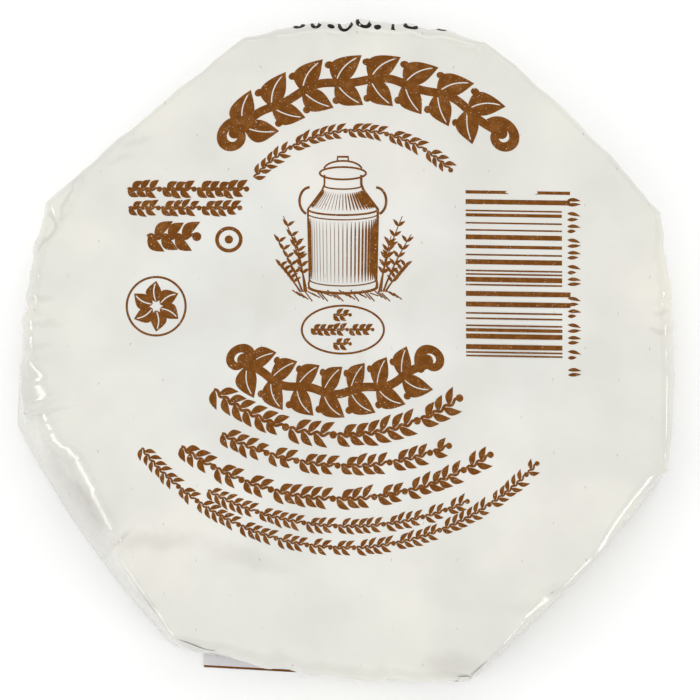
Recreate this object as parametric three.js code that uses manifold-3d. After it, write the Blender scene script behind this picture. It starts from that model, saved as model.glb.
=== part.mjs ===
// A round goat brie shut in a film wrapper, as it lies on a shelf with its printed side up.
// The film is pulled over a flat disc of cheese and folded under it. Four sides of the pack are taut and
// straight. The four between them are round, and their film is tucked behind the folds that come round from
// the taut sides. Millimetres, +Z up. The origin is on the floor under the middle of the pack, and +Y points
// away from the viewer.
import * as THREE from "three";
import { mergeVertices } from "three/addons/utils/BufferGeometryUtils.js";
import Module from "manifold-3d";

// Heights of the printed face in the middle and at its edge, and the rounding of the lower edge
const CROWN_HEIGHT = 18.8;
const RIM_HEIGHT = 18.2;
const BASE_ROUND = 1.1;

// The eight corners, counter-clockwise from the right-hand side: direction in degrees, and how far out the
// film reaches at the top edge and at the floor. Each corner starts one side: whether its film is tucked, how
// far it bulges past the straight line at the top edge and at the floor, and the rounding of its top edge.
const CORNERS = [
  { angle: 23.4, top: 57.3, base: 56.8, tucked: false, topBulge: 1.1, baseBulge: 1.0, shoulder: 1.6 },
  { angle: 65.9, top: 56.9, base: 56.2, tucked: true, topBulge: 3.4, baseBulge: 2.4, shoulder: 3.4 },
  { angle: 108.0, top: 55.3, base: 55.0, tucked: false, topBulge: 0.3, baseBulge: 0.4, shoulder: 1.6 },
  { angle: 154.0, top: 55.9, base: 55.6, tucked: true, topBulge: 1.7, baseBulge: 1.4, shoulder: 3.4 },
  { angle: 191.5, top: 55.0, base: 57.0, tucked: false, topBulge: 0.3, baseBulge: 1.7, shoulder: 2.8 },
  { angle: 239.2, top: 56.4, base: 57.0, tucked: true, topBulge: 2.8, baseBulge: 2.0, shoulder: 3.0 },
  { angle: 290.8, top: 58.7, base: 58.6, tucked: false, topBulge: 0.1, baseBulge: 1.5, shoulder: 1.4 },
  { angle: 339.3, top: 57.4, base: 57.4, tucked: true, topBulge: 1.8, baseBulge: 1.5, shoulder: 3.2 },
];
const CORNER_SHOULDER = 0.8;

// At the corners the film stands clear of the round cheese and droops: how far down, over what share of a
// side, and how far in from the edge
const CORNER_DROOP = 0.9;
const DROOP_SHARE = 0.12;
const DROOP_REACH = 4;

// How the film is folded away: how far each fold has crept along the side by the time it reaches the floor,
// how deep the tucked film lies behind the folds, and how far from the middle two folds meet underneath
const FOLD_CREEP = 7.5;
const TUCK_DEPTH = 0.35;
const FOLDS_MEET = 18;

// Small folds gather the film over the round sides. Two waves of unlike length make them uneven: how many
// times each swings along a side, how far it stands out, and where it starts on each side in turn.
const GATHERS = [
  { swings: 5.3, height: 0.2, start: 1.9 },
  { swings: 8.6, height: 0.14, start: 2.7 },
];
// How much a gather lifts the top edge, as a share of how far it stands out
const GATHER_LIFT = 0.6;

// Long soft waves of the film over the cheese: direction in degrees, length, height and phase
const WAVES = [
  { angle: 20, length: 47, height: 0.12, phase: 0.6 },
  { angle: 105, length: 38, height: 0.1, phase: 2.1 },
  { angle: 150, length: 29, height: 0.07, phase: 4.0 },
];

// Dents in the printed face, each a line from one point to another, with its half width and depth
const DENTS = [
  { from: [-39, -33.6], to: [-18, -33.2], width: 2.6, depth: 0.3 },
  { from: [-18, -33.2], to: [4, -40], width: 3.4, depth: 0.2 },
  { from: [-17.5, 49], to: [-19.5, 42], width: 1.6, depth: 0.25 },
  { from: [24, 49], to: [21, 43], width: 1.6, depth: 0.25 },
];

// The tongue of film that has slipped out under the front side, seen from above
const TONGUE = [[-24.1, -52.6], [20.4, -55.1], [16, -47], [-24.1, -46]];
const TONGUE_THICKNESS = 0.35;

// How finely each stretch of the surface is divided, and how close two points must be to count as one
const TOP_RINGS = 12;
const SHOULDER_ROWS = 6;
const WALL_ROWS = 6;
const ROUND_ROWS = 3;
const FLOOR_ROWS = 6;
const MIDDLE_ROWS = 3;
const TAUT_STEPS = 9;
const TUCKED_STEPS = 16;
const WELD = 1e-4;

const FILM = { color: 0xe5e4dc, roughness: 0.28, metalness: 0 };

const QUARTER_TURN = Math.PI / 2;
const radians = THREE.MathUtils.degToRad;
const lerp = THREE.MathUtils.lerp;

// A place t on the outline is the number of the corner behind it plus the share of that side gone since
const cornerOf = (k) => CORNERS[THREE.MathUtils.euclideanModulo(k, CORNERS.length)];
const shareOf = (t) => t - Math.floor(t);

// Rises from 0 at one end of a side to 1 in its middle and back to 0 at the other end
const arch = (s) => 4 * s * (1 - s);

// A corner at the top edge (level 0) or at the floor (level 1)
function cornerPoint(k, level) {
  const { angle, top, base } = cornerOf(k);
  const direction = new THREE.Vector2(Math.cos(radians(angle)), Math.sin(radians(angle)));
  return direction.multiplyScalar(lerp(top, base, level));
}

// How far the gathered film stands out at place t
function gather(t) {
  const k = Math.floor(t);
  if (!cornerOf(k).tucked) return 0;
  const s = shareOf(t);
  const swing = ({ swings, height, start }) => height * Math.cos(2 * Math.PI * swings * s + start * k);
  return arch(s) * GATHERS.reduce((sum, wave) => sum + swing(wave), 0);
}

// The pack's outline at place t, at the top edge (level 0), at the floor (level 1) or between them
function outline(t, level) {
  const k = Math.floor(t);
  const start = cornerPoint(k, level);
  const chord = cornerPoint(k + 1, level).sub(start);
  const outward = new THREE.Vector2(chord.y, -chord.x).normalize();
  const { topBulge, baseBulge } = cornerOf(k);
  const bulge = lerp(topBulge, baseBulge, level) * arch(shareOf(t)) + gather(t) * (1 - level);
  return start.addScaledVector(chord, shareOf(t)).addScaledVector(outward, bulge);
}

// The rounding of the top edge at place t. Sides round off further in than corners do.
function shoulderAt(t) {
  return lerp(CORNER_SHOULDER, cornerOf(Math.floor(t)).shoulder, Math.sqrt(arch(shareOf(t))));
}

// How far below the rim's height the top edge lies at place t
function droop(t) {
  const toCorner = Math.min(shareOf(t), 1 - shareOf(t));
  return CORNER_DROOP * Math.exp(-((toCorner / DROOP_SHARE) ** 2)) - GATHER_LIFT * gather(t);
}

// Waves and dents of the printed face, as a height to add
function faceRelief(x, y) {
  const waves = WAVES.map(({ angle, length, height, phase }) => {
    const along = x * Math.cos(radians(angle)) + y * Math.sin(radians(angle));
    return height * Math.sin((2 * Math.PI * along) / length + phase);
  });
  const dents = DENTS.map(({ from, to, width, depth }) => {
    const line = new THREE.Line3(new THREE.Vector3(...from, 0), new THREE.Vector3(...to, 0));
    const point = new THREE.Vector3(x, y, 0);
    const distance = line.closestPointToPoint(point, true, new THREE.Vector3()).distanceTo(point);
    return -depth * Math.exp(-((distance / width) ** 2));
  });
  return [...waves, ...dents].reduce((sum, height) => sum + height, 0);
}

// How far the folds of a tucked side have crept when they reach the floor, as a share of the side
const creepShare = (k) => FOLD_CREEP / cornerPoint(k + 1, 1).distanceTo(cornerPoint(k, 1));

// The columns that make up the surface, counter-clockwise. Each runs from the middle of the printed face over
// the edge at place t and down the wall, creeps along the side on its way, and ends in the middle underneath.
// A taut side has one more column at each end, which is the edge of its fold over the next side.
function columns() {
  return CORNERS.flatMap(({ tucked }, side) => {
    const steps = tucked ? TUCKED_STEPS : TAUT_STEPS;
    const across = Array.from({ length: steps + 1 }, (_, i) => {
      const creep = tucked ? creepShare(side) * (1 - (2 * i) / steps) : 0;
      return { t: side + i / steps, creep, tucked, side };
    });
    if (tucked) return across;
    const before = { t: side, creep: -creepShare(side - 1), tucked, side };
    const after = { t: side + 1, creep: creepShare(side + 1), tucked, side };
    return [before, ...across, after];
  });
}

// Moves a point of the outline toward the middle
function inward(point, distance) {
  return point.clone().setLength(point.length() - distance);
}

// Underneath, the folds of two neighbouring taut sides meet on the middle line of the side between them
function meetingPoint(k) {
  return outline(k + 0.5, 1).setLength(FOLDS_MEET);
}

// Where a column crosses from the outer part of the underside to its middle part
function innerPoint({ t, creep, tucked, side }) {
  if (tucked) return meetingPoint(side);
  if (creep !== 0) return meetingPoint(creep < 0 ? side - 1 : side + 1);
  return meetingPoint(side - 1).lerp(meetingPoint(side + 1), t - side);
}

// All the points of one column, from the middle of the printed face to the middle underneath
function columnPoints(column) {
  const points = [];
  const add = (flat, z) => points.push(new THREE.Vector3(flat.x, flat.y, z));

  // The printed face, shaped like a shallow dome. Its relief fades out toward the edge.
  const edge = outline(column.t, 0);
  const shoulder = shoulderAt(column.t);
  const faceEdge = inward(edge, shoulder);
  for (let i = 0; i <= TOP_RINGS; i++) {
    const out = Math.sin((i / TOP_RINGS) * QUARTER_TURN);
    const flat = faceEdge.clone().multiplyScalar(out);
    const drooped = droop(column.t) * Math.exp(-faceEdge.distanceTo(flat) / DROOP_REACH);
    const dome = lerp(CROWN_HEIGHT, RIM_HEIGHT, out ** 2);
    add(flat, dome - drooped + faceRelief(flat.x, flat.y) * (1 - out ** 4));
  }

  // The rounded top edge
  const rim = RIM_HEIGHT - droop(column.t);
  for (let i = 1; i <= SHOULDER_ROWS; i++) {
    const turn = (i / SHOULDER_ROWS) * QUARTER_TURN;
    add(inward(edge, shoulder * (1 - Math.sin(turn))), rim - shoulder * (1 - Math.cos(turn)));
  }

  // The wall. Tucked film lies behind the folds, from nothing at the top edge to its full depth at the floor.
  const tuck = column.tucked ? TUCK_DEPTH : 0;
  const wallPoint = (down) => inward(outline(column.t + column.creep * down, down), tuck * down);
  for (let i = 1; i <= WALL_ROWS; i++) {
    const down = i / WALL_ROWS;
    add(wallPoint(down), lerp(rim - shoulder, BASE_ROUND, down));
  }

  // The rounded lower edge
  const foot = wallPoint(1);
  for (let i = 1; i <= ROUND_ROWS; i++) {
    const turn = (i / ROUND_ROWS) * QUARTER_TURN;
    add(inward(foot, BASE_ROUND * (1 - Math.cos(turn))), lerp(BASE_ROUND, tuck, Math.sin(turn)));
  }

  // The underside: the outer part, where tucked film lies above the floor, then the middle, which is flat
  const floorEdge = inward(foot, BASE_ROUND);
  const inner = innerPoint(column);
  for (let i = 1; i <= FLOOR_ROWS; i++) add(floorEdge.clone().lerp(inner, i / FLOOR_ROWS), tuck);
  for (let i = 0; i <= MIDDLE_ROWS; i++) add(inner.clone().multiplyScalar(1 - i / MIDDLE_ROWS), 0);
  return points;
}

// Joins neighbouring columns with triangles. Where columns run together, triangles without area are left out.
function wrapperGeometry() {
  const places = [];
  const numbers = new Map();
  const numberOf = (point) => {
    const place = point.toArray().map((v) => Math.round(v / WELD) * WELD);
    const key = place.map((v) => v.toFixed(4)).join();
    if (!numbers.has(key)) {
      numbers.set(key, numbers.size);
      places.push(...place);
    }
    return numbers.get(key);
  };
  const triangles = [];
  const addTriangle = (...points) => {
    const triangle = points.map(numberOf);
    if (new Set(triangle).size === 3) triangles.push(...triangle);
  };
  const made = columns().map(columnPoints);
  made.forEach((left, i) => {
    const right = made[(i + 1) % made.length];
    for (let row = 0; row < left.length - 1; row++) {
      addTriangle(left[row], left[row + 1], right[row + 1]);
      addTriangle(left[row], right[row + 1], right[row]);
    }
  });
  return new THREE.BufferGeometry()
    .setAttribute("position", new THREE.Float32BufferAttribute(places, 3))
    .setIndex(triangles);
}

function tongueGeometry() {
  const shape = new THREE.Shape(TONGUE.map(([x, y]) => new THREE.Vector2(x, y)));
  const geometry = new THREE.ExtrudeGeometry(shape, { depth: TONGUE_THICKNESS, bevelEnabled: false });
  geometry.deleteAttribute("normal");
  geometry.deleteAttribute("uv");
  return geometry;
}

// A closed geometry as a solid that can be joined with others
function solidOf(wasm, geometry) {
  const merged = mergeVertices(geometry, WELD);
  return new wasm.Manifold(new wasm.Mesh({
    numProp: 3,
    vertProperties: merged.attributes.position.array,
    triVerts: new Uint32Array(merged.index.array),
  }));
}

function geometryOf(solid) {
  const { vertProperties, triVerts } = solid.getMesh();
  const geometry = new THREE.BufferGeometry()
    .setAttribute("position", new THREE.BufferAttribute(vertProperties, 3))
    .setIndex(new THREE.BufferAttribute(triVerts, 1));
  geometry.computeVertexNormals();
  return geometry;
}

// Puts the middle of the pack's footprint over the origin
function centre(geometry) {
  geometry.computeBoundingBox();
  const middle = geometry.boundingBox.getCenter(new THREE.Vector3());
  return geometry.translate(-middle.x, -middle.y, -geometry.boundingBox.min.z);
}

const wasm = await Module();
wasm.setup();
const wrapper = solidOf(wasm, wrapperGeometry()).add(solidOf(wasm, tongueGeometry()));
const pack = new THREE.Mesh(centre(geometryOf(wrapper)), new THREE.MeshStandardMaterial(FILM));
pack.name = "wrapped_cheese";

const part = new THREE.Group();
part.add(pack);
export default part;
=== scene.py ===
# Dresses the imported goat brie: the film wrapper with its folds and pleats, and the brown print on its face.
# The shape is worked out in millimetres, with the same named values as the CAD model, and is put into the
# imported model's frame in metres when a mesh is made. +Z is up and +Y points away from the viewer.
import math

import bpy
import numpy as np
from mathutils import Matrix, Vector
from mathutils.bvhtree import BVHTree
from mathutils.geometry import delaunay_2d_cdt


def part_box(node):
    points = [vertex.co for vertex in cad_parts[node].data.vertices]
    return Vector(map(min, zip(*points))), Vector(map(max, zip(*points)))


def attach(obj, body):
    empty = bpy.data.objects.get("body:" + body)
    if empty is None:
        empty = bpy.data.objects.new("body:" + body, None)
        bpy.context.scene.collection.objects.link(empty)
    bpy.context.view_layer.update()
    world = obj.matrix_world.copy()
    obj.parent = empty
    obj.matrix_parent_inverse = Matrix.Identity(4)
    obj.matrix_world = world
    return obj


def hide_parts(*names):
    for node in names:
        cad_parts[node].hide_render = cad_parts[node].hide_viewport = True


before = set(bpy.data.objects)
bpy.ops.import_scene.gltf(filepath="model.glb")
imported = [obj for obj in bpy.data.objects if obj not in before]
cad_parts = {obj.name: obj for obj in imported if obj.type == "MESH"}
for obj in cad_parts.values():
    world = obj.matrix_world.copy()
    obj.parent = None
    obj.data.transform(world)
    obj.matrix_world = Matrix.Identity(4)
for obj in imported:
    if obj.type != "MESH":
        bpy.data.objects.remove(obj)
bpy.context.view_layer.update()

MM = 0.001
QUARTER_TURN = math.pi / 2

# Heights of the printed face in the middle and at its edge, how far out the edge is, and the rounding of the
# lower edge
CROWN_HEIGHT = 18.8
RIM_HEIGHT, RIM_REACH = 18.2, 54
BASE_ROUND = 1.1

# The eight corners, counter-clockwise from the right-hand side: direction in degrees, reach at the top edge
# and at the floor, and then of the side that starts there: whether it is tucked, its bulge at the top edge and
# at the floor, and the rounding of its top edge
CORNERS = [
    (23.4, 57.3, 56.8, False, 1.1, 1.0, 1.0),
    (65.9, 56.9, 56.2, True, 3.4, 2.4, 3.4),
    (108.0, 55.3, 55.0, False, 0.3, 0.4, 0.9),
    (154.0, 55.9, 55.6, True, 1.7, 1.4, 3.4),
    (191.5, 55.0, 57.0, False, 0.3, 1.7, 2.8),
    (239.2, 56.4, 57.0, True, 2.8, 2.0, 3.0),
    (290.8, 58.7, 58.6, False, 0.1, 1.5, 1.6),
    (339.3, 57.4, 57.4, True, 1.8, 1.5, 3.2),
]
ANGLE, TOP, BASE, TUCKED, TOP_BULGE, BASE_BULGE, SHOULDER = map(np.array, zip(*CORNERS))
SIDES = len(CORNERS)
CORNER_SHOULDER = 0.8

# Droop of the film at the corners: how far down, over what share of a side, how far in from the edge
CORNER_DROOP, DROOP_SHARE, DROOP_REACH = 0.9, 0.12, 4

# How far the folds creep along a side on their way down, how deep the tucked film lies behind them, and how
# far from the middle two folds meet underneath
FOLD_CREEP, TUCK_DEPTH, FOLDS_MEET = 7.5, 0.35, 18

# Uneven gathers of the film along the tucked sides: swings along a side, height, start; and their lift
GATHERS = [(5.3, 0.2, 1.9), (8.6, 0.14, 2.7)]
GATHER_LIFT = 0.6

# Where a tucked side is smoother: places along it and what share of its gathers, pleats and crinkles it has
GATHERED = {7: [(0, 0.1), (0.42, 0.1), (0.6, 1), (1, 1)]}

# Long soft waves of the face: direction in degrees, length, height, phase
WAVES = [(20, 47, 0.12, 0.6), (105, 38, 0.1, 2.1), (150, 29, 0.07, 4.0)]

# Creases of the face, each a line of points with its half width and its height, which is below 0 for a valley
CREASES = [
    ([(-39, -33.6), (-25, -32.8), (-15, -35.3), (1, -40.4)], 2.6, -0.34),
    ([(-37.6, 34.4), (-30.6, 32.8)], 1.0, -0.16),
    ([(28.6, -40.4), (34, -43.8)], 2.2, -0.2),
    ([(-17.4, 51.6), (-19.2, 43.4)], 0.7, 0.22),
    ([(25.6, 50.8), (21.6, 44.4)], 0.7, 0.22),
    ([(-44, 28.8), (-46, 24.1), (-48.6, 19.9), (-51.4, 16.2)], 0.42, -0.5),
    ([(-49.4, 23.6), (-48.4, 20.6)], 0.4, -0.35),
    ([(-40.4, -29.0), (-38.3, -31.8), (-36.9, -31.0)], 0.55, 0.4),
    ([(-38.2, -31.8), (-37.6, -35.0)], 0.5, 0.36),
    ([(-38, -32), (-35.6, -33.3)], 0.4, 0.2),
    ([(52, 22.6), (46.6, 19.2)], 1.0, -0.12),
    ([(53.6, -20.2), (47, -17.2)], 1.2, 0.14),
    ([(20.6, -54.2), (15.6, -47), (8, -44)], 1.6, -0.2),
    ([(-28.6, -48.4), (-27, -41)], 1.2, 0.12),
    ([(-53.4, -10.4), (-46, -9)], 1.2, 0.14),
    ([(-52.6, 12.8), (-47.4, 9.8)], 0.5, -0.12),
    ([(-53.4, 8.4), (-48.6, 7.4), (-45.8, 8.2)], 0.5, -0.12),
    ([(-53.8, 5.2), (-50.2, 5.4)], 0.4, 0.1),
    ([(-54, 1.6), (-50.6, 1), (-48.4, 1.6)], 0.5, -0.12),
    ([(54, 7.6), (51, 6.8)], 0.5, -0.12),
    ([(54.2, 2.4), (50.4, 1.8)], 0.5, -0.12),
    ([(54.4, -3.2), (51.4, -3.6)], 0.4, 0.1),
]

# Pleats of the tucked sides: how many on a side, how far they stray, and the least and most of each one's half
# width, height and reach over the face. Some are valleys, and one flank of each is steeper or flatter.
PLEATS, PLEAT_STRAY = 17, 0.36
PLEAT_WIDTH, PLEAT_HEIGHT, PLEAT_REACH = (0.35, 1.1), (0.05, 0.24), (1.0, 4.5)
PLEAT_WAYS, PLEAT_FLANK = [1, 1, -0.8], (0.4, 1.6)

# The share of their height that pleats have on the face, how far down the wall they have all of it, and how
# much they grow on their way down
PLEATS_ON_FACE, PLEATS_WHOLE, PLEAT_GROWTH = 0.3, 0.25, 1.0

# Crinkles of the upper edge: wavelength along the outline and height of each, their reach over the face, the
# share of them that is gone at the foot of the wall, and the outline's mean reach
CRINKLES = [(13.0, 0.12), (7.3, 0.055), (4.1, 0.028), (2.3, 0.012)]
CRINKLE_REACH, CRINKLE_FADE, MEAN_REACH = 2.0, 0.8, 56

# The taut edges are bevelled: how flat the bevel is, from 0, a quarter circle, to 1, and its drop as a share
# of its width. Two edges have a bevel of their own: places along them and how flat it is there.
BEVEL, BEVEL_DROP = 0.6, 0.72
EDGE_BEVEL = {
    3: [(0, 0), (0.76, 0), (0.84, 0.75), (1, 0.75)],
    6: [(0, 0.88), (0.24, 0.88), (0.3, 0.76), (0.4, 0.76), (0.46, 0.88), (0.62, 0.88), (0.7, 0.74),
        (1, 0.74)],
}

# Pinches of the upper edge: place along the outline, half width, height, which is below 0 for a valley, and
# reach over the face. This share of them is gone at the foot of the wall.
PINCH_FADE = 0.7
PINCHES = [(3.88, 0.9, 0.25, 3.2), (3.955, 0.6, -0.25, 2.6), (4.03, 0.4, -0.2, 2.0), (4.07, 0.5, 0.16, 2.4),
           (4.13, 0.35, -0.22, 2.0), (4.335, 0.6, 0.1, 1.6), (4.56, 0.55, 0.2, 2.6), (4.6, 0.45, -0.42, 3.6),
           (4.635, 0.4, 0.14, 2.0), (6.52, 0.45, -0.2, 1.8), (6.57, 0.6, 0.12, 1.6), (6.8, 0.5, -0.12, 1.4)]

# Small pinches that crumple the wide edge at the lower left: first and last place, how many, and the least
# and most of each one's half width, height and reach
CRUMPLED, CRUMPLES = (4.02, 4.62), 20
CRUMPLE_WIDTH, CRUMPLE_HEIGHT, CRUMPLE_REACH = (0.3, 0.8), (0.015, 0.07), (0.8, 2.4)

# Three edges change along their length: places along them with the width of their rounding or bevel, and with
# how far in the edge lies, which is below 0 where it lies further out and fades down the wall. The left one
# widens towards the lower left one, which is wide up to its pinch and sharp beyond. The lower right one comes
# out to the outline in its middle.
INSET_FADE = 1.6
EDGE_WIDTH = {
    3: [(0, 0.8), (0.1, 2.4), (0.25, 3.1), (0.5, 3.4), (0.7, 3.2), (0.82, 4.6), (0.94, 4.6), (1, 2.6)],
    4: [(0, 2.2), (0.08, 3.4), (0.3, 3.8), (0.5, 3.2), (0.58, 2.2), (0.64, 1.1), (1, 0.8)],
    6: [(0, 0.5), (0.22, 0.6), (0.29, 1.2), (0.38, 1.3), (0.45, 0.6), (0.62, 0.6), (0.7, 1.4), (0.78, 1.9),
        (0.93, 1.9), (1, 0.8)],
}
EDGE_INSET = {
    4: [(0, 0.2), (0.03, 1.4), (0.08, 0.9), (0.14, 0.4), (0.19, 1.0), (0.25, 1.3), (0.34, 1.2), (0.4, 0.7),
        (0.46, 0.7), (0.52, 0.8), (0.56, 0.4), (0.64, 0.1), (1, 0)],
    6: [(0, 0), (0.15, -0.3), (0.26, -0.4), (0.33, -0.35), (0.38, -0.5), (0.42, -0.75), (0.45, -0.9),
        (0.55, -0.8), (0.66, -0.8), (0.72, -0.5), (0.85, 0.1), (0.95, 0.3), (1, 0)],
}

# How much the taut film sinks in between its edges where it stands clear of the round cheese
WALL_HOLLOW = 0.5

# Underneath: how high the film lies inside the folded sheets, and how soon it gets there from the edge. The
# film of the tucked sides has waves there: how many on a side, and their height.
UNDER_HEIGHT, UNDER_SLOPE = 0.85, 12
UNDER_WAVES = [(7, 0.05), (12, 0.025)]

# The folded sheets: how far their tips reach past the middle, a tip's width as a share of the sheet's, how
# thick they are, how much lower each lies than the one before, and within what share of their length they get
# there. Their wrinkles are waves across, waves along and height, and they grow and shrink along a sheet:
# places along it with their size there.
TIP_OVERSHOOT, TIP_WIDTH = 17, 0.035
SHEET_THICKNESS, SHEET_STEP, SHEETS_APART = 0.06, 0.17, 0.42
SHEET_WRINKLES = [(2.3, 0.5, 0.022), (5.2, -0.9, 0.016), (9.7, 1.3, 0.012)]
WRINKLE_GROWTH = [(0, 0), (0.12, 1.8), (0.3, 2.4), (0.5, 1)]

# The tongue of film under the front side: its corners, thickness and height. Its brown line lies between two
# shares of its depth.
TONGUE = [(-24.1, -52.6), (20.4, -55.1), (16, -47), (-24.1, -46)]
TONGUE_THICKNESS, TONGUE_HEIGHT, TONGUE_LINE = 0.1, 0.2, (0.004, 0.055)

# Folds that stand out of the wall: first and last place, how far out, upper and lower end, how round they are,
# from 0, boxy, to 1, by what share they narrow on their way down, and whether they are bare film without
# cheese behind it, coloured greyer for that and for painted shade. Their edges lie this far inside the wall.
STANDING_FOLDS = [
    (5.006, 5.145, 0.75, 17.1, 1.2, 0.8, 0.75, True),
    (5.958, 5.996, 0.6, 17.4, 1.0, 0.12, 0.2, False),
    (6.006, 6.08, 0.55, 17.3, 1.2, 0.6, 0.75, True),
]
FOLD_ROOT = 0.25

# How finely the film is divided: rows of each stretch, how much the face's rows crowd towards its edge, and
# columns of a tucked side, of each taut side and of a fold
FACE_ROWS, SHOULDER_ROWS, WALL_ROWS, ROUND_ROWS, FLOOR_ROWS, MIDDLE_ROWS = 50, 12, 22, 5, 12, 3
ROWS_CROWD = 1.9
TUCKED_STEPS, TAUT_STEPS, FOLD_STEPS = 108, {0: 54, 2: 54, 4: 140, 6: 90}, 8

# Points closer than this are one point, and this far from the face's edge its pleats and pinches are gone
WELD, FAR = 1e-4, 60.0

rng = np.random.default_rng(11)


def lerp(a, b, share):
    return a + (b - a) * share


def arch(s):
    """Rises from 0 at one end of a side to 1 in its middle and back to 0."""
    return 4 * s * (1 - s)


def corner_point(k, level):
    k = np.asarray(k) % SIDES
    reach = lerp(TOP[k], BASE[k], level)
    turn = np.radians(ANGLE[k])
    return np.stack([np.cos(turn) * reach, np.sin(turn) * reach], -1)


def side_length(k):
    """How long side k is at the top edge, from corner to corner."""
    return np.linalg.norm(corner_point(k + 1, 0) - corner_point(k, 0))


def gather(t):
    """How far the gathers of the tucked sides stand out of the outline at places t."""
    k = np.floor(t).astype(int)
    s = t - k
    swing = sum(h * np.cos(2 * math.pi * n * s + start * k) for n, h, start in GATHERS)
    return np.where(TUCKED[k % SIDES], arch(s) * swing * along_side(t, GATHERED, 1.0), 0)


def along_side(t, table, usual):
    """What a table gives at places t on the sides that it lists, and the usual value on the others."""
    k = np.floor(t).astype(int)
    value = usual
    for side, points in table.items():
        value = np.where(k % SIDES == side, np.interp(t - k, *zip(*points)), value)
    return value


def outline(t, level):
    """The pack's outline at places t, at the top edge (level 0), at the floor (level 1) or between them."""
    t, level = np.broadcast_arrays(np.asarray(t, float), np.asarray(level, float))
    k = np.floor(t).astype(int)
    s = t - k
    start = corner_point(k, level)
    chord = corner_point(k + 1, level) - start
    outward = np.stack([chord[..., 1], -chord[..., 0]], -1)
    outward /= np.linalg.norm(outward, axis=-1, keepdims=True)
    bulge = lerp(TOP_BULGE[k % SIDES], BASE_BULGE[k % SIDES], level) * arch(s) + gather(t) * (1 - level)
    bulge = bulge - along_side(t, EDGE_INSET, 0.0) * np.clip(1 - INSET_FADE * level, 0, 1)
    return start + chord * s[..., None] + outward * bulge[..., None]


def shoulder_at(t):
    k = np.floor(t).astype(int)
    return along_side(t, EDGE_WIDTH, lerp(CORNER_SHOULDER, SHOULDER[k % SIDES], np.sqrt(arch(t - k))))


def crown(flat):
    """Height of the face at points of it, which falls a little from the middle to the edge."""
    return CROWN_HEIGHT - (CROWN_HEIGHT - RIM_HEIGHT) * (np.linalg.norm(flat, axis=-1) / RIM_REACH) ** 2


def droop(t):
    s = t - np.floor(t)
    return CORNER_DROOP * np.exp(-((np.minimum(s, 1 - s) / DROOP_SHARE) ** 2)) - GATHER_LIFT * gather(t)


def creep_share(k):
    """How far the folds of tucked side k have crept when they reach the floor, as a share of the side."""
    return FOLD_CREEP / np.linalg.norm(corner_point(k + 1, 1) - corner_point(k, 1))


def inward(points, distance):
    length = np.linalg.norm(points, axis=-1, keepdims=True)
    return points * (1 - np.asarray(distance)[..., None] / length)


def distance_to_line(x, y, line):
    """Distance of points from a line of points."""
    best = np.full(x.shape, np.inf)
    for (ax, ay), (bx, by) in zip(line, line[1:]):
        length = (bx - ax) ** 2 + (by - ay) ** 2
        share = np.clip(((x - ax) * (bx - ax) + (y - ay) * (by - ay)) / length, 0, 1)
        best = np.minimum(best, np.hypot(x - lerp(ax, bx, share), y - lerp(ay, by, share)))
    return best


def ridge(distance, blunt, steep):
    """A crease's height at a distance in half widths from its middle, by how blunt and steep it is."""
    return np.exp(-np.sqrt(distance**2 + blunt) * steep)


def face_relief(x, y):
    """Soft waves and sharp creases of the face, as a height to add."""
    height = np.zeros_like(x)
    for angle, length, wave, phase in WAVES:
        along = x * math.cos(math.radians(angle)) + y * math.sin(math.radians(angle))
        height += wave * np.sin(2 * math.pi * along / length + phase)
    for line, width, crease in CREASES:
        height += crease * ridge(distance_to_line(x, y, line) / width, 0.05, 1.4)
    return height


def meeting_point(k):
    """Where the folds of the taut sides next to tucked side k meet underneath."""
    middle = outline(k + 0.5, 1)
    return middle / np.linalg.norm(middle) * FOLDS_MEET


def film_columns():
    """Each column's place, creep and side, and where it reaches the middle of the underside."""
    made = []
    for k in range(SIDES):
        if TUCKED[k]:
            for s in np.linspace(0, 1, TUCKED_STEPS + 1):
                made.append((k + s, creep_share(k) * (1 - 2 * s), k, meeting_point(k)))
            continue
        before, after = meeting_point(k - 1), meeting_point(k + 1)
        for share in np.linspace(1, 0, FOLD_STEPS + 1)[:-1]:
            made.append((k, -creep_share(k - 1) * share, k, before))
        for s in np.linspace(0, 1, TAUT_STEPS[k] + 1):
            made.append((k + s, 0, k, lerp(before, after, s)))
        for share in np.linspace(0, 1, FOLD_STEPS + 1)[1:]:
            made.append((k + 1, creep_share(k + 1) * share, k, after))
    t, creep, side, inner = zip(*made)
    return np.array(t, float), np.array(creep, float), np.array(side), np.array(inner)


def pleat_relief(t, side, from_edge, down):
    """How far pleats stand out of the film. The columns are at places t, and the rows are given by their
    distance from the edge of the face (columns by rows) and by how far down the wall they are."""
    relief = np.zeros(from_edge.shape)
    for k in np.flatnonzero(TUCKED):
        length = side_length(k)
        places = (np.arange(PLEATS) + 0.5 + rng.uniform(-PLEAT_STRAY, PLEAT_STRAY, PLEATS)) / PLEATS
        for place in places:
            width, height, reach = (rng.uniform(*r) for r in (PLEAT_WIDTH, PLEAT_HEIGHT, PLEAT_REACH))
            height *= rng.choice(PLEAT_WAYS)
            away = (t - k - place) * length
            slope = np.where(away > 0, width, width * rng.uniform(*PLEAT_FLANK))
            profile = ridge(away / slope, 0.04, 1.0) * (side == k)
            relief += height * profile[:, None] * np.exp(-from_edge / reach) * (1 + PLEAT_GROWTH * down)
    gathered = along_side(t, GATHERED, 1.0)[:, None]
    return relief * lerp(PLEATS_ON_FACE * gathered, 1, np.clip(down / PLEATS_WHOLE, 0, 1))


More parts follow.
